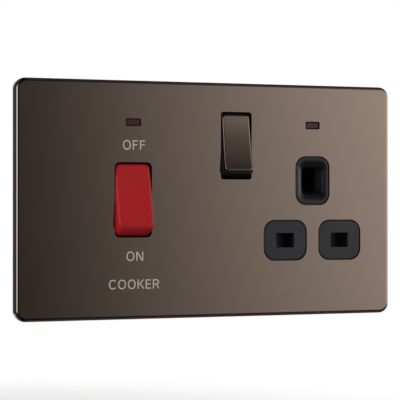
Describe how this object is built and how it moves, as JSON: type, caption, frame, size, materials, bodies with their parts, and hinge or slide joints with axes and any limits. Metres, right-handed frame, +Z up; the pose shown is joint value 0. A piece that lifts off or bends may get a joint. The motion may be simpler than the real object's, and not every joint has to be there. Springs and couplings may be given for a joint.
{
  "type": "cooker control unit",
  "caption": "Flush two-gang cooker control unit: dark metal plate, red double-pole rocker, switched three-pin shuttered socket with metal-capped rocker and indicator lenses.",
  "frame": {"origin": "on the wall surface, midway between the two wall fixing holes, which is the middle of the plate's outline", "axes": "+X right as seen from the front, +Y into the wall, +Z up; the front of the plate faces -Y"},
  "size_m": [0.146, 0.0356, 0.086],
  "materials": {
    "dark_plated_metal": "polished dark nickel plating",
    "charcoal_moulding": "fine satin thermoset moulding",
    "black_moulding": "satin black moulding",
    "red_moulding": "satin-gloss red moulding",
    "nylon": "natural nylon",
    "brass": "machined and stamped brass",
    "copper": "stamped copper",
    "zinc_steel": "zinc-plated steel",
    "spring_steel": "drawn spring wire",
    "red_lens": "clear dark red moulding",
    "lamp_glass": "clear glass",
    "resistor_ceramic": "lacquered ceramic"
  },
  "bodies": {
    "unit": {"front_plate": "dark_plated_metal", "support_frame": "charcoal_moulding", "module_fixing_screws": "zinc_steel", "cooker_front_body": "charcoal_moulding", "cooker_base": "charcoal_moulding", "cooker_supply_terminal_line": "brass", "cooker_load_terminal_line": "brass", "cooker_supply_terminal_neutral": "brass", "cooker_load_terminal_neutral": "brass", "cooker_terminal_screws": "zinc_steel", "cooker_case_screws": "zinc_steel", "socket_front_body": "charcoal_moulding", "socket_base": "charcoal_moulding", "line_link": "copper", "neutral_link": "copper", "socket_line_contact": "brass", "socket_neutral_contact": "brass", "socket_earth_contact": "brass", "earth_terminal": "brass", "earth_terminal_screws": "zinc_steel", "plate_earth_strap": "copper", "shutter_spring": "spring_steel", "socket_case_screws": "zinc_steel", "cooker_indicator_lens": "red_lens", "cooker_indicator_lamp": "lamp_glass", "cooker_indicator_resistor": "resistor_ceramic", "socket_indicator_lens": "red_lens", "socket_indicator_lamp": "lamp_glass", "socket_indicator_resistor": "resistor_ceramic"},
    "cooker_rocker_body": {"cooker_rocker": "red_moulding", "cooker_plunger_spring_line": "spring_steel", "cooker_plunger_spring_neutral": "spring_steel"},
    "cooker_plunger_line_body": {"cooker_plunger_line": "nylon"},
    "cooker_plunger_neutral_body": {"cooker_plunger_neutral": "nylon"},
    "cooker_contact_line_body": {"cooker_moving_contact_line": "copper"},
    "cooker_contact_neutral_body": {"cooker_moving_contact_neutral": "copper"},
    "socket_rocker_body": {"socket_rocker_carrier": "black_moulding", "socket_rocker_cap": "dark_plated_metal", "socket_plunger_spring": "spring_steel"},
    "socket_plunger_body": {"socket_plunger": "nylon"},
    "socket_contact_body": {"socket_moving_contact": "copper"},
    "shutter_body": {"shutter": "black_moulding"}
  },
  "joints": [
    {"name": "cooker_rocker_tilt", "type": "hinge", "parent": "unit", "child": "cooker_rocker_body", "pos_m": [-0.02965, 0.0006, 0], "axis": [1, 0, 0], "range_deg": [0, 28]},
    {"name": "cooker_contact_line_tilt", "type": "hinge", "parent": "unit", "child": "cooker_contact_line_body", "pos_m": [-0.02625, 0.0115, 0], "axis": [1, 0, 0], "range_deg": [-15, 0]},
    {"name": "cooker_contact_neutral_tilt", "type": "hinge", "parent": "unit", "child": "cooker_contact_neutral_body", "pos_m": [-0.03305, 0.0115, 0], "axis": [1, 0, 0], "range_deg": [-15, 0]},
    {"name": "cooker_plunger_line_slide", "type": "slide", "parent": "cooker_rocker_body", "child": "cooker_plunger_line_body", "axis": [0, -0.9703, 0.2419], "range_m": [0, 0.0008], "stiffness_N_per_m": 500, "springref_m": -0.001, "deforming": ["cooker_plunger_spring_line"]},
    {"name": "cooker_plunger_neutral_slide", "type": "slide", "parent": "cooker_rocker_body", "child": "cooker_plunger_neutral_body", "axis": [0, -0.9703, 0.2419], "range_m": [0, 0.0008], "stiffness_N_per_m": 500, "springref_m": -0.001, "deforming": ["cooker_plunger_spring_neutral"]},
    {"name": "socket_rocker_tilt", "type": "hinge", "parent": "unit", "child": "socket_rocker_body", "pos_m": [0.0102, 0.0006, 0.01993], "axis": [1, 0, 0], "range_deg": [0, 21]},
    {"name": "socket_contact_tilt", "type": "hinge", "parent": "unit", "child": "socket_contact_body", "pos_m": [0.0102, 0.0115, 0.01993], "axis": [1, 0, 0], "range_deg": [-13, 0]},
    {"name": "socket_plunger_slide", "type": "slide", "parent": "socket_rocker_body", "child": "socket_plunger_body", "axis": [0, -0.9833, 0.1822], "range_m": [0, 0.0008], "stiffness_N_per_m": 500, "springref_m": -0.001, "deforming": ["socket_plunger_spring"]},
    {"name": "shutter_slide", "type": "slide", "parent": "unit", "child": "shutter_body", "axis": [0, 0, -1], "range_m": [0, 0.00615], "stiffness_N_per_m": 60, "springref_m": -0.003, "deforming": ["shutter_spring"]}
  ],
  "couplings": [
    {"joint": "cooker_contact_line_tilt", "follows": "cooker_rocker_tilt", "ratio": -0.5357},
    {"joint": "cooker_contact_neutral_tilt", "follows": "cooker_rocker_tilt", "ratio": -0.5357},
    {"joint": "socket_contact_tilt", "follows": "socket_rocker_tilt", "ratio": -0.619}
  ]
}
